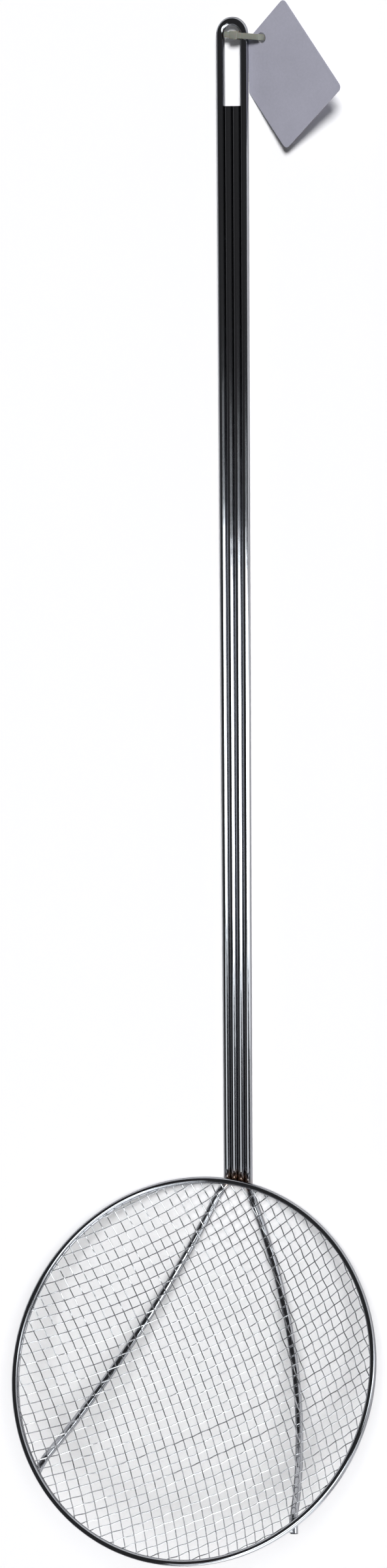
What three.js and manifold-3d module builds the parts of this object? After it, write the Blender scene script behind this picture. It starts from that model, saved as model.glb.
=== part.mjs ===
// Wire mesh skimmer: a round bowl of woven wire clamped between two rim rings, on a long handle of
// four parallel wires, with two braces under the bowl and a card tag tied to the hanging loop.
// Millimetres, +Z up. The skimmer lies with its handle along Y and the open side of the bowl up,
// and the origin is under the middle of its box.
import * as THREE from "three";
import { mergeVertices } from "three/addons/utils/BufferGeometryUtils.js";
import Module from "manifold-3d";

const wasm = await Module();
wasm.setup();

// Rim and bowl
const RIM_DIAMETER = 203.2;
const RIM_WIRE = 3.2;
const BOWL_DEPTH = 35;
const MESH_WIRE = 0.9;
const MESH_PITCH = 10.2;
const MESH_TURN = THREE.MathUtils.degToRad(35.5);
const MESH_SEAT = 1.5;

// Handle and hanging loop
const HANDLE_WIRE = 3.8;
const HANDLE_LENGTH = 605.5;
const HANDLE_ANGLE = THREE.MathUtils.degToRad(38);
const WINDOW_LENGTH = 37;
const FOOT_LENGTH = 0.5;

// Braces under the bowl
const BRACE_WIRE = 3.8;
const BRACE_SPREAD = THREE.MathUtils.degToRad(133.9);
const BRACE_BEND = THREE.MathUtils.degToRad(28.6);
const BRACE_BEND_RADIUS = 6;
const BRACE_BLEND = 8;
const BRACE_BLEND_POWER = 8;
const BRACE_OVERHANG = 2;

// Tie and tag
const TIE_WIDTH = 2.5;
const TIE_THICKNESS = 1;
const TIE_REACH = 8.9;
const TIE_TAIL = 3.2;
const TIE_FROM_LOOP_TOP = 10.3;
const LOCK_LENGTH = 4.4;
const LOCK_WIDTH = 3.8;
const LOCK_HEIGHT = 3.6;
const TAG_WIDTH = 44.3;
const TAG_LENGTH = 52.6;
const TAG_THICKNESS = 0.4;
const TAG_CORNER = 3.5;
const TAG_HOLE = 4.5;
const TAG_HOLE_INSET = 5.2;
const TAG_TURN = THREE.MathUtils.degToRad(-51.6);
const TAG_RISE = THREE.MathUtils.degToRad(8.5);
const TAG_ROLL = THREE.MathUtils.degToRad(15.4);
const TAG_LIFT = 0.7;

// Clearances
const FIT_GAP = 0.3;
const WEAVE_GAP = 0.3;
const TAG_GAP = 0.4;

// Facets
const RIM_STEPS = 64;
const WIRE_SIDES = 10;
const MESH_SIDES = 4;
const LOOP_STEPS = 12;
const BRACE_STEPS = 26;
const BEND_STEPS = 4;
const STRAP_STEPS = 8;
const CORNER_STEPS = 6;

// Finishes
const NICKEL = { color: 0x9a9ca0, roughness: 0.16, metalness: 1 };
const MESH_STEEL = { color: 0x8f9194, roughness: 0.3, metalness: 1 };
const NYLON = { color: 0xd9dade, roughness: 0.45, metalness: 0 };
const CARD = { color: 0xa3a3b4, roughness: 0.6, metalness: 0 };

// Derived sizes
const rimRadius = (RIM_DIAMETER - RIM_WIRE) / 2;
const meshHalf = MESH_WIRE + WEAVE_GAP / 2;
const weaveLift = (MESH_WIRE + WEAVE_GAP) / 2;
const seatDepth = MESH_SEAT - MESH_WIRE / 2;
const grooveDepth = RIM_WIRE / 2 - Math.sqrt(Math.max(0, (RIM_WIRE / 2) ** 2 - seatDepth ** 2));
const rimHalfGap = meshHalf + FIT_GAP - grooveDepth;
const ringLift = RIM_WIRE / 2 + rimHalfGap;
const bowlRadius = rimRadius - RIM_WIRE / 2 - 2 * FIT_GAP;
const sphereRadius = (bowlRadius ** 2 + BOWL_DEPTH ** 2) / (2 * BOWL_DEPTH);
const wirePitch = HANDLE_WIRE + FIT_GAP;
const legOffset = 1.5 * wirePitch;
const underRing = RIM_WIRE / 2 + FIT_GAP + HANDLE_WIRE / 2;
const loopRise = legOffset + HANDLE_WIRE / 2;

// The point where the handle passes under the rim, in the bowl's own axes: x across,
// y towards the handle and z out of the bowl's open side, from the middle of the rim.
const footY = rimRadius + underRing * Math.sin(HANDLE_ANGLE);
const footZ = -ringLift - underRing * Math.cos(HANDLE_ANGLE);

const skimmer = new THREE.Group();
skimmer.name = "skimmer";

// Everything is placed from that point, with the handle along y.
const lying = new THREE.Group();
skimmer.add(lying);

// The bowl's own axes, leaning back from the handle.
const bowl = new THREE.Group();
bowl.rotation.x = -HANDLE_ANGLE;
bowl.position.set(0, -footY, -footZ).applyEuler(bowl.rotation);
lying.add(bowl);

function addPiece(parent, name, geometry, finish) {
  const mesh = new THREE.Mesh(geometry, new THREE.MeshStandardMaterial(finish));
  mesh.name = name;
  parent.add(mesh);
  return mesh;
}

// A round wire along a list of points, with flat ends. The section is carried along the points
// without twist, and each section lies on the plane that halves the bend there.
function wireAlong(points, diameter, sides) {
  const count = points.length;
  const ways = points.slice(1).map((point, i) => point.clone().sub(points[i]).normalize());
  const across = new THREE.Vector3(0, 0, 1);
  if (Math.abs(across.dot(ways[0])) > 0.9) across.set(1, 0, 0);
  across.addScaledVector(ways[0], -across.dot(ways[0])).normalize();
  const positions = [];
  points.forEach((point, i) => {
    const before = ways[Math.max(i - 1, 0)];
    const after = ways[Math.min(i, count - 2)];
    const side = new THREE.Vector3().crossVectors(before, across);
    const plane = before.clone().add(after).normalize();
    for (let k = 0; k < sides; k++) {
      const turn = ((k + 0.5) / sides) * 2 * Math.PI;
      const out = across.clone().multiplyScalar(Math.cos(turn)).addScaledVector(side, Math.sin(turn));
      out.addScaledVector(before, -out.dot(plane) / before.dot(plane));
      positions.push(...point.clone().addScaledVector(out, diameter / 2).toArray());
    }
    across.applyQuaternion(new THREE.Quaternion().setFromUnitVectors(before, after));
  });
  const faces = [];
  for (let i = 0; i + 1 < count; i++) {
    for (let k = 0; k < sides; k++) {
      const a = i * sides + k;
      const b = i * sides + ((k + 1) % sides);
      faces.push(a, b, b + sides, a, b + sides, a + sides);
    }
  }
  const last = (count - 1) * sides;
  for (let k = 1; k + 1 < sides; k++) {
    faces.push(0, k + 1, k);
    faces.push(last, last + k, last + k + 1);
  }
  const geometry = new THREE.BufferGeometry();
  geometry.setAttribute("position", new THREE.Float32BufferAttribute(positions, 3));
  geometry.setIndex(faces);
  geometry.computeVertexNormals();
  return geometry;
}

// Solids for joining and cutting
function toSolid(geometry) {
  const bare = geometry.clone();
  bare.deleteAttribute("normal");
  bare.deleteAttribute("uv");
  const merged = mergeVertices(bare, 1e-4);
  const mesh = new wasm.Mesh({
    numProp: 3,
    vertProperties: merged.getAttribute("position").array,
    triVerts: new Uint32Array(merged.index.array),
  });
  return new wasm.Manifold(mesh);
}

function toGeometry(solid) {
  const mesh = solid.getMesh();
  const geometry = new THREE.BufferGeometry();
  geometry.setAttribute("position", new THREE.BufferAttribute(mesh.vertProperties, 3));
  geometry.setIndex(new THREE.BufferAttribute(mesh.triVerts, 1));
  geometry.computeVertexNormals();
  return geometry;
}

// The bowl is a cap of a sphere inside a flat band that the rim clamps.
function bowlHeight(radius) {
  if (radius >= bowlRadius) return 0;
  return sphereRadius - BOWL_DEPTH - Math.sqrt(sphereRadius ** 2 - radius ** 2);
}

// The direction out of the bowl's open side, square to its surface.
function bowlNormal(x, y) {
  const radius = Math.hypot(x, y);
  if (radius >= bowlRadius) return new THREE.Vector3(0, 0, 1);
  const depth = Math.sqrt(sphereRadius ** 2 - radius ** 2);
  return new THREE.Vector3(-x, -y, depth).normalize();
}

// Rim rings, one above and one below the edge of the mesh
for (const [name, side] of [["rim_ring_upper", 1], ["rim_ring_lower", -1]]) {
  const ring = new THREE.TorusGeometry(rimRadius, RIM_WIRE / 2, WIRE_SIDES, RIM_STEPS);
  addPiece(bowl, name, ring, NICKEL).position.z = side * ringLift;
}

// Woven mesh: warp wires run at the mesh turn and weft wires square to it. Each wire has a step at
// every crossing, over one wire and under the next, and its ends lie in the groove of the rim.
const meshReach = rimRadius - MESH_SEAT;
const wiresPerSide = Math.floor((meshReach - MESH_PITCH / 2) / MESH_PITCH);

function meshWire(row, set) {
  const offset = row * MESH_PITCH;
  const half = Math.sqrt(meshReach ** 2 - offset ** 2);
  const crossings = Math.floor(half / MESH_PITCH);
  const stops = [-half];
  for (let crossing = -crossings; crossing <= crossings; crossing++) {
    const stop = crossing * MESH_PITCH;
    if (half - Math.abs(stop) > MESH_WIRE) stops.push(stop);
  }
  stops.push(half);
  const turn = MESH_TURN + (set * Math.PI) / 2;
  const first = set === 0 ? 1 : -1;
  const points = stops.map((stop) => {
    const x = stop * Math.cos(turn) - offset * Math.sin(turn);
    const y = stop * Math.sin(turn) + offset * Math.cos(turn);
    const lift = first * weaveLift * Math.cos(Math.PI * (stop / MESH_PITCH + row));
    const point = new THREE.Vector3(x, y, bowlHeight(Math.hypot(x, y)));
    return point.addScaledVector(bowlNormal(x, y), lift);
  });
  return wireAlong(points, MESH_WIRE, MESH_SIDES);
}

// Wires are numbered from the middle one, to both sides.
for (let row = -wiresPerSide; row <= wiresPerSide; row++) {
  const place = row === 0 ? "middle" : `${row < 0 ? "minus" : "plus"}_${Math.abs(row)}`;
  addPiece(bowl, `mesh_warp_${place}`, meshWire(row, 0), MESH_STEEL);
  addPiece(bowl, `mesh_weft_${place}`, meshWire(row, 1), MESH_STEEL);
}

// Outer handle wire: two legs and the round end that joins them into the hanging loop
const legEnd = HANDLE_LENGTH - loopRise;
const loopPoints = [new THREE.Vector3(-legOffset, -FOOT_LENGTH, 0)];
for (let i = 0; i <= LOOP_STEPS; i++) {
  const turn = Math.PI - (i / LOOP_STEPS) * Math.PI;
  loopPoints.push(
    new THREE.Vector3(legOffset * Math.cos(turn), legEnd + legOffset * Math.sin(turn), 0),
  );
}
loopPoints.push(new THREE.Vector3(legOffset, -FOOT_LENGTH, 0));
addPiece(lying, "handle_loop_wire", wireAlong(loopPoints, HANDLE_WIRE, WIRE_SIDES), NICKEL);

// Inner handle wires, cut square at the foot of the loop's window
const innerEnd = HANDLE_LENGTH - HANDLE_WIRE - WINDOW_LENGTH;
for (const [name, side] of [["handle_inner_wire_left", -1], ["handle_inner_wire_right", 1]]) {
  const x = (side * wirePitch) / 2;
  const points = [new THREE.Vector3(x, -FOOT_LENGTH, 0), new THREE.Vector3(x, innerEnd, 0)];
  addPiece(lying, name, wireAlong(points, HANDLE_WIRE, WIRE_SIDES), NICKEL);
}

// Braces: each carries on from a leg under the rim, bends outwards, follows the bowl's underside
// and ends under the far part of the rim.
const braceOff = meshHalf + FIT_GAP + BRACE_WIRE / 2;
const braceUnderRing = ringLift + RIM_WIRE / 2 + FIT_GAP + BRACE_WIRE / 2;

// How far below the rim's plane a brace runs at a point: clear of the mesh and of the lower ring.
function braceDepth(x, y) {
  const radius = Math.hypot(x, y);
  const belowMesh = braceOff / bowlNormal(x, y).z - bowlHeight(radius);
  const power = BRACE_BLEND_POWER;
  return (belowMesh ** power + braceUnderRing ** power) ** (1 / power);
}

function bracePoints(side) {
  const startY = footY - (FOOT_LENGTH + FIT_GAP) * Math.cos(HANDLE_ANGLE);
  const bendX = legOffset + BRACE_BEND_RADIUS * (1 - Math.cos(BRACE_BEND));
  const bendY = startY - BRACE_BEND_RADIUS * Math.sin(BRACE_BEND);
  const endRadius = rimRadius + BRACE_OVERHANG;
  const end = new THREE.Vector2(
    endRadius * Math.sin(BRACE_SPREAD),
    endRadius * Math.cos(BRACE_SPREAD),
  );
  const bend = new THREE.Vector2(bendX, bendY);
  const control = new THREE.Vector2(Math.sin(BRACE_BEND), -Math.cos(BRACE_BEND))
    .multiplyScalar(bend.distanceTo(end) / 2)
    .add(bend);
  const run = new THREE.QuadraticBezierCurve(bend, control, end);
  const plan = [];
  for (let i = 0; i < BEND_STEPS; i++) {
    const turn = (i / BEND_STEPS) * BRACE_BEND;
    plan.push(
      new THREE.Vector2(
        legOffset + BRACE_BEND_RADIUS * (1 - Math.cos(turn)),
        startY - BRACE_BEND_RADIUS * Math.sin(turn),
      ),
    );
  }
  plan.push(...run.getSpacedPoints(BRACE_STEPS));
  return plan.map(({ x, y }) => {
    const straight = footZ + (y - footY) * Math.tan(HANDLE_ANGLE);
    const share = THREE.MathUtils.smoothstep(startY - y, 0, BRACE_BLEND);
    const z = THREE.MathUtils.lerp(straight, -braceDepth(x, y), share);
    return new THREE.Vector3(side * x, y, z);
  });
}

for (const [name, side] of [["brace_left", -1], ["brace_right", 1]]) {
  addPiece(bowl, name, wireAlong(bracePoints(side), BRACE_WIRE, WIRE_SIDES), NICKEL);
}

// Plastic tie: a flat strap round the right leg and through the tag's hole, with its lock and cut
// tail in the window of the loop. It is drawn in the plane across the leg and widened along the leg.
const tieInside = HANDLE_WIRE / 2 + FIT_GAP;
const tieOutside = tieInside + TIE_THICKNESS;
const tiePlace = HANDLE_LENGTH - TIE_FROM_LOOP_TOP;

function stadium(path, radius) {
  path.moveTo(0, -radius);
  path.lineTo(TIE_REACH - tieInside, -radius);
  path.absarc(TIE_REACH - tieInside, 0, radius, -Math.PI / 2, Math.PI / 2, false);
  path.lineTo(0, radius);
  path.absarc(0, 0, radius, Math.PI / 2, (3 * Math.PI) / 2, false);
  return path;
}

function tieGeometry() {
  const outline = stadium(new THREE.Shape(), tieOutside);
  outline.holes.push(stadium(new THREE.Path(), tieInside));
  const strap = new THREE.ExtrudeGeometry(outline, {
    depth: TIE_WIDTH,
    bevelEnabled: false,
    curveSegments: STRAP_STEPS,
  });
  strap.translate(0, 0, -TIE_WIDTH / 2);
  const lock = new THREE.BoxGeometry(LOCK_LENGTH, LOCK_HEIGHT, LOCK_WIDTH);
  const lockMiddle = TIE_THICKNESS - tieOutside - LOCK_LENGTH / 2;
  lock.translate(lockMiddle, 0, 0);
  const tail = new THREE.BoxGeometry(TIE_TAIL + LOCK_LENGTH / 2, TIE_THICKNESS, TIE_WIDTH);
  tail.translate(lockMiddle - (TIE_TAIL + LOCK_LENGTH / 2) / 2, 0, 0);
  return toGeometry(toSolid(strap).add(toSolid(lock)).add(toSolid(tail)));
}

const tie = addPiece(lying, "tag_tie", tieGeometry(), NYLON);
tie.rotation.x = Math.PI / 2;
tie.position.set(legOffset, tiePlace, 0);

// Card tag: round corners, a hole near one short edge, and the corner beside the leg cut back to
// clear it. Its own axes have x along its length, from the hole, and y across it.
// Its low edge lies beside the leg, and its far end and its outer side stand up from there.
const holeFromLeg = TIE_REACH + TIE_THICKNESS / 2;
const tagGroup = new THREE.Group();
tagGroup.position.set(legOffset + holeFromLeg, tiePlace, TAG_LIFT);
tagGroup.rotation.set(TAG_ROLL, -TAG_RISE, TAG_TURN, "ZYX");
lying.add(tagGroup);

function tagGeometry() {
  const left = -TAG_HOLE_INSET;
  const right = TAG_LENGTH - TAG_HOLE_INSET;
  const half = TAG_WIDTH / 2;
  const r = TAG_CORNER;
  const card = new THREE.Shape();
  card.moveTo(left + r, -half);
  card.lineTo(right - r, -half);
  card.absarc(right - r, -half + r, r, -Math.PI / 2, 0, false);
  card.lineTo(right, half - r);
  card.absarc(right - r, half - r, r, 0, Math.PI / 2, false);
  card.lineTo(left + r, half);
  card.absarc(left + r, half - r, r, Math.PI / 2, Math.PI, false);
  card.lineTo(left, -half + r);
  card.absarc(left + r, -half + r, r, Math.PI, (3 * Math.PI) / 2, false);
  const hole = new THREE.Path();
  hole.absarc(0, 0, TAG_HOLE / 2, 0, 2 * Math.PI, true);
  card.holes.push(hole);
  const sheet = new THREE.ExtrudeGeometry(card, {
    depth: TAG_THICKNESS,
    bevelEnabled: false,
    curveSegments: CORNER_STEPS,
  });
  sheet.translate(0, 0, -TAG_THICKNESS / 2);
  const reach = TAG_LENGTH + TAG_WIDTH;
  const clear = new THREE.BoxGeometry(reach, 2 * reach, reach);
  const edge = -holeFromLeg + HANDLE_WIRE / 2 + TAG_GAP;
  clear.translate(edge - reach / 2, 0, 0);
  clear.applyMatrix4(new THREE.Matrix4().makeRotationFromEuler(tagGroup.rotation).invert());
  return toGeometry(toSolid(sheet).subtract(toSolid(clear)));
}

addPiece(tagGroup, "hang_tag", tagGeometry(), CARD);

// The origin lies under the middle of the whole box.
const box = new THREE.Box3().setFromObject(lying, true);
lying.position.set(-(box.min.x + box.max.x) / 2, -(box.min.y + box.max.y) / 2, -box.min.z);

export default skimmer;
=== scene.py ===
"""Wire mesh skimmer with a long handle of four wires, dressed for its studio picture."""
from math import ceil, cos, hypot, pi, radians, sin, sqrt

import bpy
from mathutils import Euler, Matrix, Vector


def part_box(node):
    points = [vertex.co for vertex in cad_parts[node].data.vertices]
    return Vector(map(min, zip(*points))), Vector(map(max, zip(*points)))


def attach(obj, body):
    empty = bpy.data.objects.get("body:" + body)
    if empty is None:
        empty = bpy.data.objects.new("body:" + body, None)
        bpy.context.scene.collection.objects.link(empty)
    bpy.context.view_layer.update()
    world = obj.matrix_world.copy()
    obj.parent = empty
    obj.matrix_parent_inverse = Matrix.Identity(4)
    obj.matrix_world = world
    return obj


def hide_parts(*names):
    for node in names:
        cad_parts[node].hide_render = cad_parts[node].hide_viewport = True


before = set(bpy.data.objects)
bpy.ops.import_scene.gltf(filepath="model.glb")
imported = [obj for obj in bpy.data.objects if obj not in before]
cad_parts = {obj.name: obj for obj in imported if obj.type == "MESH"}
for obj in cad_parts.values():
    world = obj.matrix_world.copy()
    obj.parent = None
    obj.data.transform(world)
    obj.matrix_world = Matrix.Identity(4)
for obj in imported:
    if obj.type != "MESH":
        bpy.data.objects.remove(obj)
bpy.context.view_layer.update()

bl_info = {
    "name": "Wire Mesh Skimmer",
    "version": (1, 0, 0),
    "blender": (4, 5, 0),
    "location": "3D View > Sidebar > Skimmer",
    "description": "Builds a woven wire skimmer, its tied card tag and a plain studio round the packed frame",
    "category": "Add Mesh",
}


def linear(code):
    """A colour written as sRGB hex, in the linear values that shaders take."""
    parts = [int(code[k:k + 2], 16) / 255 for k in (1, 3, 5)]
    return tuple(v / 12.92 if v <= 0.04045 else ((v + 0.055) / 1.055) ** 2.4 for v in parts) + (1.0,)


def middle(node):
    """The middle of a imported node's box."""
    low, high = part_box(node)
    return (low + high) / 2


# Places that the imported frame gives. The bowl has axes of its own: across, towards the handle and
# up out of its open side, from the middle of the rim.
RING_UPPER = middle("rim_ring_upper")
RING_LOWER = middle("rim_ring_lower")
RIM_MIDDLE = (RING_UPPER + RING_LOWER) / 2
BOWL_UP = (RING_UPPER - RING_LOWER).normalized()
ACROSS = Vector((1, 0, 0))
TO_HANDLE = BOWL_UP.cross(ACROSS)
RIM_SPAN = (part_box("rim_ring_upper")[1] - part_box("rim_ring_upper")[0]).x
HANDLE_Z = middle("handle_inner_wire_left").z
HANDLE_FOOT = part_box("handle_inner_wire_left")[0].y
INNER_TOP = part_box("handle_inner_wire_left")[1].y
INNER_X = middle("handle_inner_wire_right").x
LEG_X = 3 * INNER_X
LOOP_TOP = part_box("handle_loop_wire")[1].y
LOOP_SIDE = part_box("handle_loop_wire")[1].x
TIE_Y = middle("tag_tie").y
TIE_ENDS = (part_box("tag_tie")[0].x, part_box("tag_tie")[1].x)

MM = 0.001

# Rim and bowl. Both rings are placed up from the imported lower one. The bowl is part of a round ball,
# and the woven wires hang a little below it and reach in between the rings.
TOP_RING = RING_LOWER + BOWL_UP * 4.3 * MM
KEEPER_RING = RING_LOWER + BOWL_UP * 0.6 * MM
BOWL_DEPTH = 35 * MM
BOWL_EDGE = 97.8 * MM
BOWL_ROUND = (BOWL_EDGE ** 2 + BOWL_DEPTH ** 2) / (2 * BOWL_DEPTH)
MESH_REACH = 98.5 * MM
MESH_TURN = radians(35.5)
MESH_SINK = 0.45 * MM
CRIMP_LIFT = 0.51  # as a share of the mesh wire's diameter
CRIMP_STEPS = 6  # from one crossing to the next

# Braces. Each leaves its leg in a bend, eases down under the mesh and ends below the rim. The gaps
# are the room left to the mesh's round surface and to the rings.
BRACE_FOOT = HANDLE_FOOT + 0.5 * MM
BRACE_START = 0.8 * MM  # up the leg from its foot
BRACE_BEND = radians(28.4)
BRACE_BEND_RADIUS = 6 * MM
BRACE_EASE = 5 * MM
BRACE_END = radians(133.8)  # round the rim from the handle
BRACE_REACH = 102 * MM
BRACE_MESH_GAP = 1.35 * MM
BRACE_MESH_LIMIT = 97.5 * MM  # the mesh's surface is followed no further out than this
BRACE_RING_GAP = 0.3 * MM
BRACE_BLEND = 8  # the higher, the sharper the turn from under the mesh to under the ring
BRACE_DROP = 4.5 * MM  # from the keeper ring to the brace's end

# Steps along the bent wires, and sides of the round ones.
LOOP_STEPS, BEND_STEPS, BRACE_STEPS = 48, 8, 72
PLATED_SIDES, MESH_SIDES, RING_STEPS = 24, 8, 192

# Weld beads: half their size, how far they run into both wires, and how uneven they are.
BEAD_HALF_WIDTH, BEAD_HALF_LENGTH = 1.7 * MM, 1.5 * MM
BEAD_SINK = 0.7 * MM
BEAD_ROUGH = 0.3 * MM

# Plastic tie. The lock sits beside the leg, and the strap's far bend goes through the card's hole.
TIE_BEND_RADIUS = 2.7 * MM
TIE_FAR_INSET = 2.3 * MM
TIE_BEND_STEPS = 14
TIE_SKEW = radians(-5)
TIE_SHIFT = Vector((0, 0.75 * MM, 0))
LOCK_AWAY, LOCK_RISE = 4.5 * MM, 1.05 * MM
LOCK_SIDES = (4.4 * MM, 4.0 * MM, 4.6 * MM)
LOCK_SOFT, STRAP_SOFT = 0.6 * MM, 0.15 * MM

# Card tag. It is cut flat about its hole and tilted, and its corner is cut back beside the leg.
CARD_HOLE = Vector((15.55, 368.9185, 4.06)) * MM
CARD_TILT = Euler((radians(15.4), radians(-8.5), radians(-51.6)), "XYZ")
CARD_INSET = 5.2 * MM
CARD_THICKNESS = 0.4 * MM
CARD_CUT_X = 7.5 * MM
CARD_SOFT = 0.06 * MM
PUNCH_PLACE = (-0.4 * MM, 0.3 * MM, 0)
PUNCH_DEPTH = 4 * MM

# Stage. The panels are what the bright metal mirrors, as name, place, turn in degrees, sides and
# brightness.
FLOOR_SPAN = 600
KEY_WAY = Vector((0.345, 0.482, 0.805))
KEY_STRENGTH, KEY_SPREAD = 3.72, radians(18)
PANEL_TINT = (0.94, 0.98, 1.0)
PANELS = (
    ("side_softbox", (0.75, -0.42, 1.30), (0, 30, 0), (1.60, 0.50), 5.0),
    ("side_softbox_edge", (0.77, -0.34, 1.32), (0, 30, 0), (1.60, 0.66), 0.3),
    ("far_wall_glow", (4.75, -1.55, 1.55), (0, 72, 0), (3.6, 1.3), 2.0),
    ("overhead_softbox", (0.05, -0.93, 1.5), (0, 0, 0), (0.75, 0.52), 1.8),
    ("front_softbox", (0.69, -1.81, 0.76), (57, 45, 0), (1.9, 1.9), 3.0),
    ("brace_glint", (0.385, -0.115, 0.16), (0, 70, 18), (0.24, 0.15), 3.0),
)
HORIZON, OVERHEAD = "#eef0f3", "#3a3a3b"
VIEW_PLACE = (0.458009, 0.339736, 1.108385)
VIEW_TURN = (radians(-16.1291), radians(23.4091), radians(-0.6256))
VIEW_LENS, VIEW_SENSOR = 54.915, 36

# Names of the finishes, and the sockets of a colour mix: both colours and the result.
PLATED = "bright_nickel_on_drawn_wire"
WOVEN = "bright_drawn_mesh_wire"
NYLON = "moulded_natural_nylon"
CARD = "die_cut_coated_card"
PAPER = "matt_background_paper"
MIX_FROM, MIX_TO, MIXED = 6, 7, 2


def size(name, note, default):
    """A length that a user may change, in metres."""
    return bpy.props.FloatProperty(
        name=name, description=note, default=default, min=0.0001, precision=5, unit="LENGTH"
    )


def colour(name, note, code):
    """A colour that a user may change."""
    return bpy.props.FloatVectorProperty(
        name=name, description=note, default=linear(code), size=4, min=0, max=1, subtype="COLOR"
    )


class SkimmerSizes(bpy.types.PropertyGroup):
    """Sizes of the wires, the tie and the card"""
    rim_wire: size("Rim wire", "Diameter of the upper rim ring's wire", 3.2 * MM)
    keeper_wire: size("Keeper wire", "Diameter of the ring under the mesh's edge", 2.0 * MM)
    mesh_wire: size("Mesh wire", "Diameter of the woven wire", 0.58 * MM)
    mesh_pitch: size("Mesh pitch", "Distance between neighbouring woven wires", 5.1 * MM)
    handle_wire: size("Handle wire", "Diameter of the handle's and braces' wire", 4.0 * MM)
    strap_width: size("Strap width", "Width of the plastic tie's strap", 2.7 * MM)
    strap_thickness: size("Strap thickness", "Thickness of the plastic tie's strap", 0.9 * MM)
    card_length: size("Card length", "Long side of the card tag", 52.6 * MM)
    card_width: size("Card width", "Short side of the card tag", 44.3 * MM)
    card_corner: size("Card corner", "Radius of the card tag's corners", 2.4 * MM)
    card_hole: size("Card hole", "Diameter of the card tag's hole", 4.9 * MM)


class SkimmerColours(bpy.types.PropertyGroup):
    """Colours of the object and of the floor"""
    plating: colour("Plating", "Bright nickel plating of the rings, handle and braces", "#a9aaae")
    edge: colour("Plating at a glance", "Tint of the plating where it is seen almost edge on", "#3a3b3e")
    straw: colour("Heat tint", "Straw tint that welding leaves on the plating", "#b8895a")
    mesh: colour("Mesh wire", "Bright drawn wire of the mesh", "#c8c9cc")
    nylon: colour("Nylon", "Natural nylon of the tie", "#929389")
    card: colour("Card", "Coated card of the tag", "#acacba")
    floor: colour("Floor", "Matt paper under the object", "#fafafc")


def add_node(tree, kind, settings=None, inputs=None):
    """Adds a node with its settings, and its inputs as values or as links from other nodes."""
    node = tree.nodes.new(kind)
    for key, value in (settings or {}).items():
        setattr(node, key, value)
    for key, value in (inputs or {}).items():
        if isinstance(value, bpy.types.NodeSocket):
            tree.links.new(value, node.inputs[key])
        else:
            node.inputs[key].default_value = value
    return node


def new_material(name):
    """The empty node tree of a new material."""
    material = bpy.data.materials.new(name)
    material.use_nodes = True
    material.node_tree.nodes.clear()
    return material.node_tree


def shaded(base, share):
    """A colour made darker or lighter, up to white."""
    return tuple(min(share * v, 1.0) for v in base[:3]) + (1.0,)


def bright_nickel(colours):
    """Bright nickel on drawn steel wire: mirrors the room in long streaks, with the faint lengthwise
    lines of the drawing die, a slow waver from straightening and a straw tint beside the welds."""
    tree = new_material(PLATED)
    place = add_node(tree, "ShaderNodeTexCoord").outputs["Object"]
    # The die's lines, 0.7 mm apart and 80 mm long: coarser than real ones, so that they show.
    across, length = 1 / (0.7 * MM), 1 / (80 * MM)
    along = add_node(tree, "ShaderNodeMapping", {}, {
        "Vector": place, "Scale": (across, length, across),
    }).outputs["Vector"]
    lines = add_node(tree, "ShaderNodeTexNoise", {}, {
        "Vector": along, "Scale": 1.0, "Detail": 3.0,
    }).outputs["Fac"]
    # The straightening rolls leave a waver every 22 mm or so.
    waver = add_node(tree, "ShaderNodeTexNoise", {}, {
        "Vector": place, "Scale": 1 / (22 * MM), "Detail": 2.0,
    }).outputs["Fac"]
    rough = add_node(tree, "ShaderNodeMapRange", {}, {
        "Value": lines, "To Min": 0.05, "To Max": 0.14,
    }).outputs["Result"]
    # The tint is full within 4 mm of the wires' feet and gone 10 mm away.
    away = add_node(tree, "ShaderNodeVectorMath", {"operation": "DISTANCE"}, {
        0: place, 1: (0, HANDLE_FOOT, HANDLE_Z),
    }).outputs["Value"]
    heat = add_node(tree, "ShaderNodeMapRange", {"interpolation_type": "SMOOTHSTEP"}, {
        "Value": away, "From Min": 10 * MM, "From Max": 4 * MM, "To Min": 0.0, "To Max": 1.0,
    }).outputs["Result"]
    patchy = add_node(tree, "ShaderNodeMath", {"operation": "MULTIPLY"}, {0: heat, 1: waver}).outputs[0]
    tint = add_node(tree, "ShaderNodeMix", {"data_type": "RGBA"}, {
        0: patchy, MIX_FROM: colours.plating, MIX_TO: colours.straw,
    }).outputs[MIXED]
    bump_lines = add_node(tree, "ShaderNodeBump", {}, {
        "Height": lines, "Strength": 0.12, "Distance": 0.02 * MM,
    })
    bump = add_node(tree, "ShaderNodeBump", {}, {
        "Height": waver, "Strength": 0.25, "Distance": 0.3 * MM, "Normal": bump_lines.outputs["Normal"],
    })
    shader = add_node(tree, "ShaderNodeBsdfPrincipled", {}, {
        "Base Color": tint, "Metallic": 1.0, "Roughness": rough, "Normal": bump.outputs["Normal"],
        "Specular Tint": colours.edge,
    })
    add_node(tree, "ShaderNodeOutputMaterial", {}, {"Surface": shader.outputs["BSDF"]})


def bright_mesh_wire(colours):
    """Bright drawn steel wire, crimped in weaving: sparkles along its waves, a little duller and more
    uneven than the plated wires."""
    tree = new_material(WOVEN)
    place = add_node(tree, "ShaderNodeTexCoord").outputs["Object"]
    # Worn and bright patches come about once in a crimp, every 4 mm.
    patches = add_node(tree, "ShaderNodeTexNoise", {}, {
        "Vector": place, "Scale": 1 / (4 * MM), "Detail": 3.0,
    }).outputs["Fac"]
    rough = add_node(tree, "ShaderNodeMapRange", {}, {
        "Value": patches, "To Min": 0.08, "To Max": 0.2,
    }).outputs["Result"]
    tone = add_node(tree, "ShaderNodeMix", {"data_type": "RGBA"}, {
        0: patches, MIX_FROM: colours.mesh, MIX_TO: shaded(colours.mesh, 0.72),
    }).outputs[MIXED]
    shader = add_node(tree, "ShaderNodeBsdfPrincipled", {}, {
        "Base Color": tone, "Metallic": 0.9, "Roughness": rough,
    })
    add_node(tree, "ShaderNodeOutputMaterial", {}, {"Surface": shader.outputs["BSDF"]})


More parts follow.
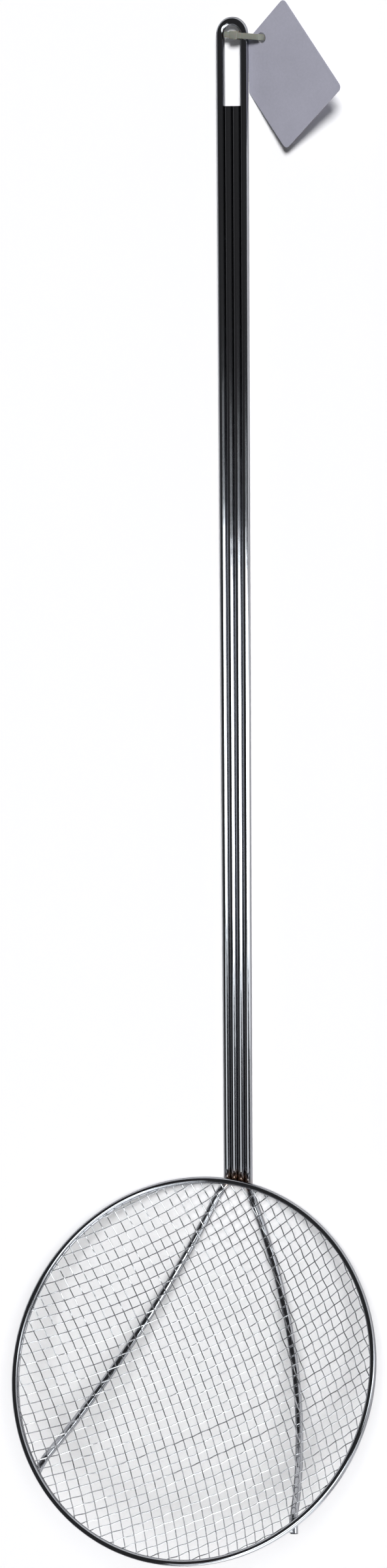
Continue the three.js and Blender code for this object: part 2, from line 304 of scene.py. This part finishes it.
def natural_nylon(colours):
    """Natural nylon, moulded: milky and half clear, with a soft shine and the ladder of the strap."""
    tree = new_material(NYLON)
    place = add_node(tree, "ShaderNodeTexCoord").outputs["Object"]
    # The mould leaves clouds of shine, about 2 mm wide.
    cloud = add_node(tree, "ShaderNodeTexNoise", {}, {
        "Vector": place, "Scale": 1 / (2 * MM), "Detail": 2.0,
    }).outputs["Fac"]
    # The strap's rungs are 1 mm apart. A wave texture repeats every pi / 10 at a scale of 1.
    ladder = add_node(tree, "ShaderNodeTexWave", {"wave_type": "BANDS", "bands_direction": "X"}, {
        "Vector": place, "Scale": pi / 10 / (1 * MM),
    }).outputs["Fac"]
    rough = add_node(tree, "ShaderNodeMapRange", {}, {
        "Value": cloud, "To Min": 0.3, "To Max": 0.45,
    }).outputs["Result"]
    bump = add_node(tree, "ShaderNodeBump", {}, {
        "Height": ladder, "Strength": 0.3, "Distance": 0.08 * MM,
    })
    shader = add_node(tree, "ShaderNodeBsdfPrincipled", {}, {
        "Base Color": colours.nylon, "Roughness": rough, "IOR": 1.53, "Transmission Weight": 0.25,
        "Subsurface Weight": 0.3, "Subsurface Scale": 0.6 * MM, "Normal": bump.outputs["Normal"],
    })
    add_node(tree, "ShaderNodeOutputMaterial", {}, {"Surface": shader.outputs["BSDF"]})


def coated_card(colours):
    """Coated card, die cut: smooth lilac grey with a faint fibre mottle and a soft satin shine."""
    tree = new_material(CARD)
    place = add_node(tree, "ShaderNodeTexCoord").outputs["Object"]
    # Fibre clumps of 1.1 mm, coarser than real ones so that they show, and a mottle of 14 mm.
    fibre = add_node(tree, "ShaderNodeTexNoise", {}, {
        "Vector": place, "Scale": 1 / (1.1 * MM), "Detail": 4.0,
    }).outputs["Fac"]
    mottle = add_node(tree, "ShaderNodeTexNoise", {}, {
        "Vector": place, "Scale": 1 / (14 * MM), "Detail": 2.0,
    }).outputs["Fac"]
    both = add_node(tree, "ShaderNodeMath", {"operation": "ADD"}, {0: fibre, 1: mottle}).outputs[0]
    share = add_node(tree, "ShaderNodeMapRange", {}, {
        "Value": both, "From Min": 0.6, "From Max": 1.4,
    }).outputs["Result"]
    tone = add_node(tree, "ShaderNodeMix", {"data_type": "RGBA"}, {
        0: share, MIX_FROM: shaded(colours.card, 0.93), MIX_TO: shaded(colours.card, 1.05),
    }).outputs[MIXED]
    bump = add_node(tree, "ShaderNodeBump", {}, {
        "Height": fibre, "Strength": 0.15, "Distance": 0.03 * MM,
    })
    shader = add_node(tree, "ShaderNodeBsdfPrincipled", {}, {
        "Base Color": tone, "Roughness": 0.42, "IOR": 1.5, "Normal": bump.outputs["Normal"],
    })
    add_node(tree, "ShaderNodeOutputMaterial", {}, {"Surface": shader.outputs["BSDF"]})


def matt_paper(colours):
    """Matt background paper. Its own faint glow is for what looks at it, so that it reads as white
    while the object's shadow stays on it."""
    tree = new_material(PAPER)
    place = add_node(tree, "ShaderNodeTexCoord").outputs["Object"]
    # A tooth of 1.4 mm, coarser than the real paper's so that it shows.
    grain = add_node(tree, "ShaderNodeTexNoise", {}, {
        "Vector": place, "Scale": 1 / (1.4 * MM), "Detail": 2.0,
    }).outputs["Fac"]
    bump = add_node(tree, "ShaderNodeBump", {}, {
        "Height": grain, "Strength": 0.05, "Distance": 0.05 * MM,
    })
    path = add_node(tree, "ShaderNodeLightPath").outputs
    seen = path["Is Camera Ray"]
    for ray in ("Is Glossy Ray", "Is Transmission Ray"):
        seen = add_node(tree, "ShaderNodeMath", {"operation": "ADD"}, {0: seen, 1: path[ray]}).outputs[0]
    glow = add_node(tree, "ShaderNodeMath", {"operation": "MULTIPLY"}, {0: seen, 1: 0.03}).outputs[0]
    shader = add_node(tree, "ShaderNodeBsdfPrincipled", {}, {
        "Base Color": colours.floor, "Roughness": 0.9, "Specular IOR Level": 0.0,
        "Normal": bump.outputs["Normal"], "Emission Color": (1, 1, 1, 1), "Emission Strength": glow,
    })
    add_node(tree, "ShaderNodeOutputMaterial", {}, {"Surface": shader.outputs["BSDF"]})


def deselect():
    """Leaves nothing selected, so that the next operator acts on its own piece alone."""
    bpy.ops.object.select_all(action="DESELECT")


def join_parts(parts, main_part):
    """Joins the parts of one piece into its main part."""
    deselect()
    for part in parts:
        part.select_set(True)
    bpy.context.view_layer.objects.active = main_part
    bpy.ops.object.join()


def soft_edges(piece, width, segments):
    """Rounds a piece's sharp edges."""
    bpy.context.view_layer.objects.active = piece
    bevel = piece.modifiers.new("soft_edges", "BEVEL")
    bevel.width, bevel.segments, bevel.limit_method = width, segments, "ANGLE"
    bpy.ops.object.modifier_apply(modifier=bevel.name)


def place_piece(piece, name, finish, body, nodes):
    """Names a finished piece, gives it its material and ties it to the frame."""
    piece.name = piece.data.name = name
    piece.data.materials.clear()
    piece.data.materials.append(bpy.data.materials[finish])
    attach(piece, body)
    if nodes:
        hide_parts(*nodes)


def draw_wires(runs, diameter, sides):
    """Bends round wire along centre lines: a curve with the wire's section, made a mesh."""
    deselect()
    bpy.ops.curve.primitive_nurbs_path_add()
    curve = bpy.context.object.data
    curve.splines.clear()
    for run in runs:
        spline = curve.splines.new("POLY")
        spline.points.add(len(run) - 1)
        for point, spot in zip(spline.points, run):
            point.co = (*spot, 1)
    curve.bevel_depth = diameter / 2
    curve.bevel_resolution = sides // 2 - 2  # a curve's section has 4 sides, and 2 more for each step
    curve.use_fill_caps = True
    bpy.ops.object.convert(target="MESH")
    bpy.ops.object.shade_smooth_by_angle(angle=radians(40))
    return bpy.context.object


def rim_radius(sizes):
    """Radius of the rings' centre lines."""
    return (RIM_SPAN - sizes.rim_wire) / 2


def bowl_spot(x, y, z):
    """A point given on the bowl's own axes, in the frame."""
    return RIM_MIDDLE + ACROSS * x + TO_HANDLE * y + BOWL_UP * z


def bowl_height(x, y):
    """Height of the bowl's round surface, from the rim's plane."""
    return BOWL_ROUND - BOWL_DEPTH - sqrt(BOWL_ROUND ** 2 - x * x - y * y)


def bowl_normal(x, y):
    """Inward normal of the bowl's round surface, on the bowl's axes."""
    return Vector((-x, -y, sqrt(BOWL_ROUND ** 2 - x * x - y * y))) / BOWL_ROUND


class SKIMMER_OT_rim(bpy.types.Operator):
    """Spins the two rim rings from their wire's section"""
    bl_idname = "skimmer.rim"
    bl_label = "Rim Rings"

    def execute(self, context):
        sizes = context.scene.skimmer_sizes
        for name, centre, wire in (
            ("upper", TOP_RING, sizes.rim_wire),
            ("lower", KEEPER_RING, sizes.keeper_wire),
        ):
            deselect()
            bpy.ops.mesh.primitive_circle_add(
                vertices=PLATED_SIDES, radius=wire / 2, location=centre + ACROSS * rim_radius(sizes),
                rotation=ACROSS.cross(BOWL_UP).to_track_quat("Z", "Y").to_euler(),
            )
            bpy.ops.object.mode_set(mode="EDIT")
            bpy.ops.mesh.spin(steps=RING_STEPS, angle=2 * pi, center=centre, axis=BOWL_UP)
            bpy.ops.mesh.select_all(action="SELECT")
            bpy.ops.mesh.remove_doubles(threshold=0.01 * MM)
            bpy.ops.mesh.normals_make_consistent(inside=False)
            bpy.ops.object.mode_set(mode="OBJECT")
            bpy.ops.object.transform_apply()
            bpy.ops.object.shade_smooth()
            place_piece(context.object, "rim_" + name + "_ring", PLATED, "skimmer",
                        ["rim_ring_" + name])
        return {"FINISHED"}


class SKIMMER_OT_mesh(bpy.types.Operator):
    """Weaves the bowl from two sets of crimped wires"""
    bl_idname = "skimmer.mesh"
    bl_label = "Woven Bowl"

    def execute(self, context):
        sizes = context.scene.skimmer_sizes
        for name, turn, side in (("warp", MESH_TURN, 1), ("weft", MESH_TURN + pi / 2, -1)):
            piece = draw_wires(self.runs(sizes, turn, side), sizes.mesh_wire, MESH_SIDES)
            nodes = [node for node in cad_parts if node.startswith("mesh_" + name)]
            place_piece(piece, "mesh_" + name + "_wires", WOVEN, "skimmer", nodes)
        return {"FINISHED"}

    def runs(self, sizes, turn, side):
        """Centre lines of one set, each wire going over and under the other set in turn."""
        pitch, lift = sizes.mesh_pitch, side * CRIMP_LIFT * sizes.mesh_wire
        count = int(MESH_REACH / pitch)
        runs = []
        for row in range(-count, count + 1):
            offset = row * pitch
            half = sqrt(MESH_REACH ** 2 - offset ** 2)
            steps = ceil(2 * half / pitch * CRIMP_STEPS)
            run = []
            for step in range(steps + 1):
                stop = half * (2 * step / steps - 1)
                x = stop * cos(turn) - offset * sin(turn)
                y = stop * sin(turn) + offset * cos(turn)
                crimp = bowl_normal(x, y) * lift * cos(pi * (stop / pitch + row))
                spot = Vector((x, y, bowl_height(x, y) - MESH_SINK)) + crimp
                run.append(bowl_spot(*spot))
            runs.append(run)
        return runs


class SKIMMER_OT_handle(bpy.types.Operator):
    """Bends the outer wire with its loop and braces, and lays the two inner wires in it"""
    bl_idname = "skimmer.handle"
    bl_label = "Handle and Braces"

    def execute(self, context):
        sizes = context.scene.skimmer_sizes
        turn_y = LOOP_TOP - LOOP_SIDE
        loop = []
        for step in range(LOOP_STEPS + 1):
            turn = pi * step / LOOP_STEPS
            loop.append(Vector((-LEG_X * cos(turn), turn_y + LEG_X * sin(turn), HANDLE_Z)))
        outer = self.brace(sizes, -1)[::-1] + loop + self.brace(sizes, 1)
        piece = draw_wires([outer], sizes.handle_wire, PLATED_SIDES)
        place_piece(piece, "handle_loop_and_braces", PLATED, "skimmer",
                    ["handle_loop_wire", "brace_left", "brace_right"])
        for name, side in (("left", -1), ("right", 1)):
            run = [Vector((side * INNER_X, y, HANDLE_Z)) for y in (HANDLE_FOOT, 0, INNER_TOP)]
            piece = draw_wires([run], sizes.handle_wire, PLATED_SIDES)
            place_piece(piece, "handle_inner_" + name, PLATED, "skimmer",
                        ["handle_inner_wire_" + name])
        return {"FINISHED"}

    def brace(self, sizes, side):
        """Centre line of a brace from the leg's foot, out in a bend and along under the bowl."""
        foot = Vector((0, BRACE_FOOT, HANDLE_Z)) - RIM_MIDDLE
        foot_y, foot_z = foot.dot(TO_HANDLE), foot.dot(BOWL_UP)
        start_y = foot_y + BRACE_START
        slope = BOWL_UP.y / TO_HANDLE.y
        under_ring = (
            (RING_UPPER - RING_LOWER).length / 2 + (sizes.rim_wire + sizes.handle_wire) / 2 + BRACE_RING_GAP
        )
        under_mesh = BRACE_MESH_GAP + sizes.handle_wire / 2
        run = []
        for x, y in self.plan(start_y):
            out = hypot(x, y)
            inward = min(1, BRACE_MESH_LIMIT / out)
            mesh_x, mesh_y = x * inward, y * inward
            depth = under_ring
            if out < BOWL_EDGE:
                below = under_mesh / bowl_normal(mesh_x, mesh_y).z - bowl_height(mesh_x, mesh_y)
                depth = (below ** BRACE_BLEND + under_ring ** BRACE_BLEND) ** (1 / BRACE_BLEND)
            share = min(max((start_y - y) / BRACE_EASE, 0), 1)
            share = share * share * (3 - 2 * share)
            straight = foot_z + (y - foot_y) * slope
            run.append(bowl_spot(side * x, y, straight + (-depth - straight) * share))
        return run

    def plan(self, start_y):
        """The right brace's line seen along the bowl's axis: the bend, then a slack curve to its end."""
        plan = []
        for step in range(BEND_STEPS + 1):
            turn = BRACE_BEND * step / BEND_STEPS
            plan.append(Vector((
                LEG_X + BRACE_BEND_RADIUS * (1 - cos(turn)), start_y - BRACE_BEND_RADIUS * sin(turn),
            )))
        first = plan[-1]
        last = BRACE_REACH * Vector((sin(BRACE_END), cos(BRACE_END)))
        guide = first + Vector((sin(BRACE_BEND), -cos(BRACE_BEND))) * (last - first).length / 2
        for step in range(1, BRACE_STEPS + 1):
            t = step / BRACE_STEPS
            plan.append(first * (1 - t) ** 2 + guide * 2 * t * (1 - t) + last * t * t)
        return plan


class SKIMMER_OT_welds(bpy.types.Operator):
    """Sets the weld beads that hold the handle's wires and the braces' ends under the rim"""
    bl_idname = "skimmer.welds"
    bl_label = "Weld Beads"

    def execute(self, context):
        sizes = context.scene.skimmer_sizes
        deselect()
        beads = []
        for seed, (ring, wire) in enumerate(self.joints(rim_radius(sizes))):
            way = wire - ring
            near, far = sizes.keeper_wire / 2, way.length - sizes.handle_wire / 2
            bpy.ops.mesh.primitive_uv_sphere_add(
                segments=20, ring_count=12, radius=1, location=ring + way.normalized() * (near + far) / 2,
                rotation=way.to_track_quat("Z", "Y").to_euler(),
            )
            half = (BEAD_HALF_WIDTH, BEAD_HALF_LENGTH, (far - near) / 2 + BEAD_SINK)
            bpy.ops.transform.resize(value=half, orient_type="LOCAL")
            bpy.ops.object.transform_apply()
            bpy.ops.object.mode_set(mode="EDIT")
            bpy.ops.transform.vertex_random(offset=BEAD_ROUGH, seed=seed)
            bpy.ops.mesh.vertices_smooth(factor=0.5, repeat=2)
            bpy.ops.mesh.normals_make_consistent(inside=False)
            bpy.ops.object.mode_set(mode="OBJECT")
            bpy.ops.object.shade_smooth()
            beads.append(context.object)
        join_parts(beads, beads[0])
        place_piece(context.object, "weld_beads", PLATED, "skimmer", [])
        return {"FINISHED"}

    def joints(self, radius):
        """Where the keeper ring meets the handle's wires and the braces, as points on both."""
        joints = []
        for x in (-LEG_X, -INNER_X, INNER_X, LEG_X):
            ring = KEEPER_RING + ACROSS * x + TO_HANDLE * sqrt(radius ** 2 - x * x)
            joints.append((ring, Vector((x, ring.y, HANDLE_Z))))
        for side in (-1, 1):
            out = ACROSS * side * sin(BRACE_END) + TO_HANDLE * cos(BRACE_END)
            ring = KEEPER_RING + out * radius
            joints.append((ring, ring - BOWL_UP * BRACE_DROP))
        return joints


class SKIMMER_OT_tie(bpy.types.Operator):
    """Makes the plastic tie: strap round the leg and through the card, lock and cut tail"""
    bl_idname = "skimmer.tie"
    bl_label = "Plastic Tie"

    def execute(self, context):
        sizes = context.scene.skimmer_sizes
        leg = Vector((LEG_X, TIE_Y, HANDLE_Z))
        strap = self.strap(sizes, leg)
        lock_x, lock_z = leg.x - LOCK_AWAY, HANDLE_Z + LOCK_RISE
        parts = [self.block(Vector((lock_x, TIE_Y, lock_z)), LOCK_SIDES, LOCK_SOFT)]
        # The cut tail sticks out behind the lock, and the strap leads from the lock over the leg.
        for start_x, end_x, level in (
            (TIE_ENDS[0], lock_x, lock_z),
            (lock_x, leg.x, HANDLE_Z + TIE_BEND_RADIUS),
        ):
            sides = (end_x - start_x, sizes.strap_width, sizes.strap_thickness)
            parts.append(self.block(Vector(((start_x + end_x) / 2, TIE_Y, level)), sides, STRAP_SOFT))
        join_parts(parts + [strap], strap)
        # The tie hangs a little askew: it is turned about the card's hole, so its lock sits higher.
        turn = Matrix.Rotation(TIE_SKEW, 4, "Z")
        strap.rotation_euler, strap.location = turn.to_euler(), CARD_HOLE - turn @ CARD_HOLE + TIE_SHIFT
        bpy.ops.object.transform_apply()
        bpy.ops.object.shade_smooth_by_angle(angle=radians(35))
        place_piece(strap, "tie_strap_and_lock", NYLON, "tie", ["tag_tie"])
        return {"FINISHED"}

    def strap(self, sizes, leg):
        """The closed strap, from its section: out, round the far bend, back and round the leg."""
        far = Vector((TIE_ENDS[1] - TIE_FAR_INSET, TIE_Y, HANDLE_Z))
        deselect()
        bpy.ops.mesh.primitive_plane_add(
            size=1, location=leg - Vector((0, 0, TIE_BEND_RADIUS)), rotation=(0, pi / 2, 0)
        )
        bpy.ops.transform.resize(value=(1, sizes.strap_width, sizes.strap_thickness))
        bpy.ops.object.transform_apply()
        bpy.ops.object.mode_set(mode="EDIT")
        for run, bend in ((far.x - leg.x, far), (leg.x - far.x, leg)):
            bpy.ops.mesh.extrude_region_move(TRANSFORM_OT_translate={"value": (run, 0, 0)})
            bpy.ops.mesh.spin(steps=TIE_BEND_STEPS, angle=pi, center=bend, axis=(0, 1, 0))
        bpy.ops.mesh.delete(type="ONLY_FACE")
        bpy.ops.mesh.select_all(action="SELECT")
        bpy.ops.mesh.remove_doubles(threshold=0.02 * MM)
        bpy.ops.mesh.normals_make_consistent(inside=False)
        bpy.ops.object.mode_set(mode="OBJECT")
        strap = bpy.context.object
        soft_edges(strap, STRAP_SOFT, 3)
        return strap

    def block(self, centre, sides, soft):
        """A moulded block with soft edges."""
        deselect()
        bpy.ops.mesh.primitive_cube_add(size=1, location=centre)
        bpy.ops.transform.resize(value=sides)
        bpy.ops.object.transform_apply()
        block = bpy.context.object
        soft_edges(block, soft, 3)
        return block


class SKIMMER_OT_tag(bpy.types.Operator):
    """Cuts the card tag with its round corners and hole"""
    bl_idname = "skimmer.tag"
    bl_label = "Card Tag"

    def execute(self, context):
        sizes = context.scene.skimmer_sizes
        deselect()
        bpy.ops.mesh.primitive_plane_add(size=1, location=(sizes.card_length / 2 - CARD_INSET, 0, 0))
        bpy.ops.transform.resize(value=(sizes.card_length, sizes.card_width, 1))
        bpy.ops.object.transform_apply()
        card = context.object
        bpy.ops.object.mode_set(mode="EDIT")
        bpy.ops.mesh.bevel(affect="VERTICES", offset=sizes.card_corner, segments=8)
        bpy.ops.object.mode_set(mode="OBJECT")
        wall = card.modifiers.new("thickness", "SOLIDIFY")
        wall.thickness, wall.offset = CARD_THICKNESS, 0
        bpy.ops.object.modifier_apply(modifier=wall.name)
        deselect()
        bpy.ops.mesh.primitive_cylinder_add(
            vertices=40, radius=sizes.card_hole / 2, depth=PUNCH_DEPTH, location=PUNCH_PLACE
        )
        punch = context.object
        deselect()
        card.select_set(True)
        context.view_layer.objects.active = card
        hole = card.modifiers.new("hole", "BOOLEAN")
        hole.object, hole.operation, hole.solver = punch, "DIFFERENCE", "EXACT"
        bpy.ops.object.modifier_apply(modifier=hole.name)
        bpy.data.objects.remove(punch)
        card.rotation_euler, card.location = CARD_TILT, CARD_HOLE
        bpy.ops.object.transform_apply()
        bpy.ops.object.mode_set(mode="EDIT")
        bpy.ops.mesh.select_all(action="SELECT")
        bpy.ops.mesh.bisect(
            plane_co=(CARD_CUT_X, 0, 0), plane_no=(1, 0, 0), use_fill=True, clear_inner=True
        )
        bpy.ops.object.mode_set(mode="OBJECT")
        soft_edges(card, CARD_SOFT, 2)
        bpy.ops.object.shade_smooth_by_angle(angle=radians(12))
        place_piece(card, "card_tag", CARD, "tag", ["hang_tag"])
        return {"FINISHED"}


class SKIMMER_OT_stage(bpy.types.Operator):
    """Sets the floor, the lights and the camera at the photograph's view"""
    bl_idname = "skimmer.stage"
    bl_label = "Stage"

    def execute(self, context):
        deselect()
        bpy.ops.mesh.primitive_plane_add(size=FLOOR_SPAN)
        floor = context.object
        floor.name = "paper_floor"
        floor.data.materials.append(bpy.data.materials[PAPER])

        # The key lights card, tie and floor. It isn't mirrored, and the panels are only mirrored.
        bpy.ops.object.light_add(
            type="SUN", location=KEY_WAY * 3, rotation=KEY_WAY.to_track_quat("Z", "Y").to_euler()
        )
        key = context.object
        key.name = "key_softbox"
        key.data.energy, key.data.angle = KEY_STRENGTH, KEY_SPREAD
        key.visible_glossy = False
        for name, place, turn, sides, bright in PANELS:
            bpy.ops.object.light_add(
                type="AREA", location=place, rotation=[radians(angle) for angle in turn]
            )
            panel = context.object
            panel.name = name
            panel.data.shape, (panel.data.size, panel.data.size_y) = "RECTANGLE", sides
            panel.data.energy = bright * pi * sides[0] * sides[1]
            panel.data.color = PANEL_TINT
            panel.visible_camera = panel.visible_diffuse = False

        # A dim studio that pales towards the horizon, where the paper sweeps up.
        world = bpy.data.worlds.new("dim_studio")
        world.use_nodes = True
        tree = world.node_tree
        way = add_node(tree, "ShaderNodeTexCoord").outputs["Generated"]
        up = add_node(tree, "ShaderNodeSeparateXYZ", {}, {"Vector": way}).outputs["Z"]
        rise = add_node(tree, "ShaderNodeMapRange", {"interpolation_type": "SMOOTHSTEP"}, {
            "Value": up, "From Min": 0.05, "From Max": 0.22,
        }).outputs["Result"]
        sky = add_node(tree, "ShaderNodeMix", {"data_type": "RGBA"}, {
            0: rise, MIX_FROM: linear(HORIZON), MIX_TO: linear(OVERHEAD),
        }).outputs[MIXED]
        tree.links.new(sky, tree.nodes["Background"].inputs["Color"])
        context.scene.world = world

        bpy.ops.object.camera_add(location=VIEW_PLACE, rotation=VIEW_TURN)
        camera = context.object
        camera.name = "photo_view"
        camera.data.lens, camera.data.sensor_height = VIEW_LENS, VIEW_SENSOR
        camera.data.sensor_fit = "VERTICAL"
        context.scene.camera = camera
        context.scene.view_settings.view_transform = "Standard"
        return {"FINISHED"}


class SKIMMER_OT_finishes(bpy.types.Operator):
    """Mixes the object's and the floor's materials from the chosen colours"""
    bl_idname = "skimmer.finishes"
    bl_label = "Finishes"

    def execute(self, context):
        for make in (bright_nickel, bright_mesh_wire, natural_nylon, coated_card, matt_paper):
            make(context.scene.skimmer_colours)
        return {"FINISHED"}


class SKIMMER_PT_panel(bpy.types.Panel):
    """Lists the skimmer's sizes, colours and pieces"""
    bl_idname = "SKIMMER_PT_panel"
    bl_label = "Wire Mesh Skimmer"
    bl_space_type = "VIEW_3D"
    bl_region_type = "UI"
    bl_category = "Skimmer"

    def draw(self, context):
        for group in (context.scene.skimmer_sizes, context.scene.skimmer_colours):
            box = self.layout.box()
            for name in group.__annotations__:
                box.prop(group, name)
        for operator in STEPS:
            self.layout.operator(operator.bl_idname)


STEPS = (
    SKIMMER_OT_finishes, SKIMMER_OT_stage, SKIMMER_OT_rim, SKIMMER_OT_mesh, SKIMMER_OT_handle,
    SKIMMER_OT_welds, SKIMMER_OT_tie, SKIMMER_OT_tag,
)
CLASSES = (SkimmerSizes, SkimmerColours) + STEPS + (SKIMMER_PT_panel,)


def register():
    for cls in CLASSES:
        bpy.utils.register_class(cls)
    bpy.types.Scene.skimmer_sizes = bpy.props.PointerProperty(type=SkimmerSizes)
    bpy.types.Scene.skimmer_colours = bpy.props.PointerProperty(type=SkimmerColours)


def unregister():
    del bpy.types.Scene.skimmer_colours
    del bpy.types.Scene.skimmer_sizes
    for cls in reversed(CLASSES):
        bpy.utils.unregister_class(cls)


def main():
    register()
    bpy.ops.skimmer.finishes()
    bpy.ops.skimmer.stage()
    bpy.ops.skimmer.rim()
    bpy.ops.skimmer.mesh()
    bpy.ops.skimmer.handle()
    bpy.ops.skimmer.welds()
    bpy.ops.skimmer.tie()
    bpy.ops.skimmer.tag()


if __name__ == "__main__":
    main()
